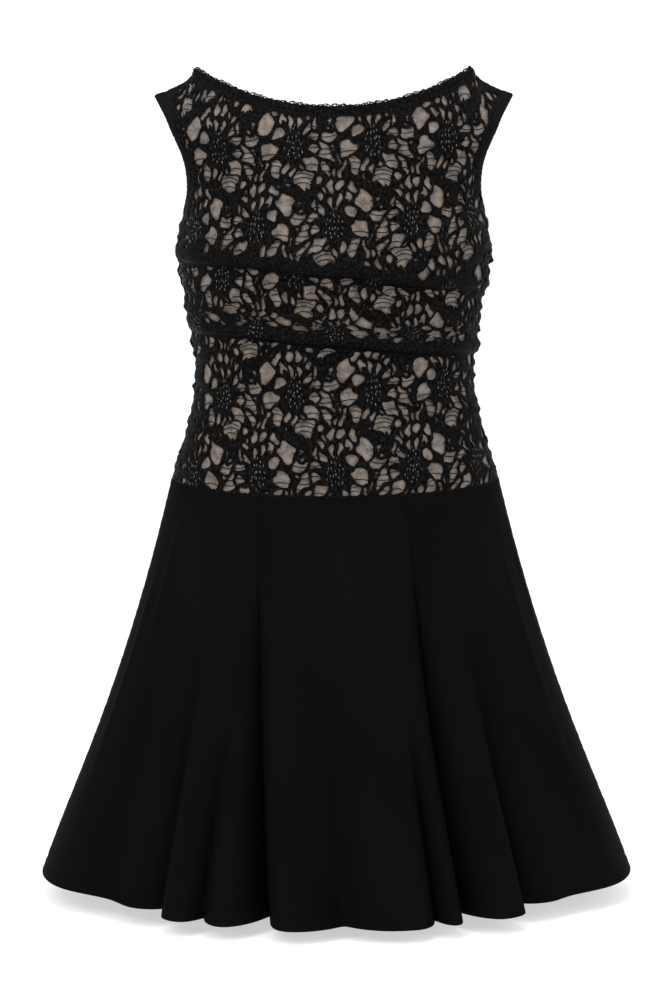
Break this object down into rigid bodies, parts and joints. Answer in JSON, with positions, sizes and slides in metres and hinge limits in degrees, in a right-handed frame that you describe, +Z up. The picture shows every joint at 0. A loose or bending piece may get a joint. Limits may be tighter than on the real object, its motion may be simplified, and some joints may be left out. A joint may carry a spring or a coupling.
{
  "type": "sleeveless dress",
  "caption": "Sleeveless knee-length dress: floral lace bodice over a plain lining, gathered along its side seams, with a flared gored skirt.",
  "frame": {"origin": "midway between the two shoulder seams, where they meet the neck, at the height of those two points", "axes": "+Z up along the dress, +Y towards the back, +X towards the right as seen from the front"},
  "size_m": [0.652, 0.5251, 0.8935],
  "materials": {
    "lining": "matt nude jersey",
    "lace": "matt black corded lace",
    "edging": "matt black binding",
    "skirt": "soft matt black crepe"
  },
  "bodies": {
    "root": {"lining_front": "lining", "lining_back": "lining", "lace_front": "lace", "lace_back": "lace", "neck_edging": "edging", "armhole_binding_left": "edging", "armhole_binding_right": "edging", "skirt_centre_front": "skirt", "skirt_side_front_left": "skirt", "skirt_side_front_right": "skirt", "skirt_centre_back": "skirt", "skirt_side_back_left": "skirt", "skirt_side_back_right": "skirt"}
  },
  "joints": []
}
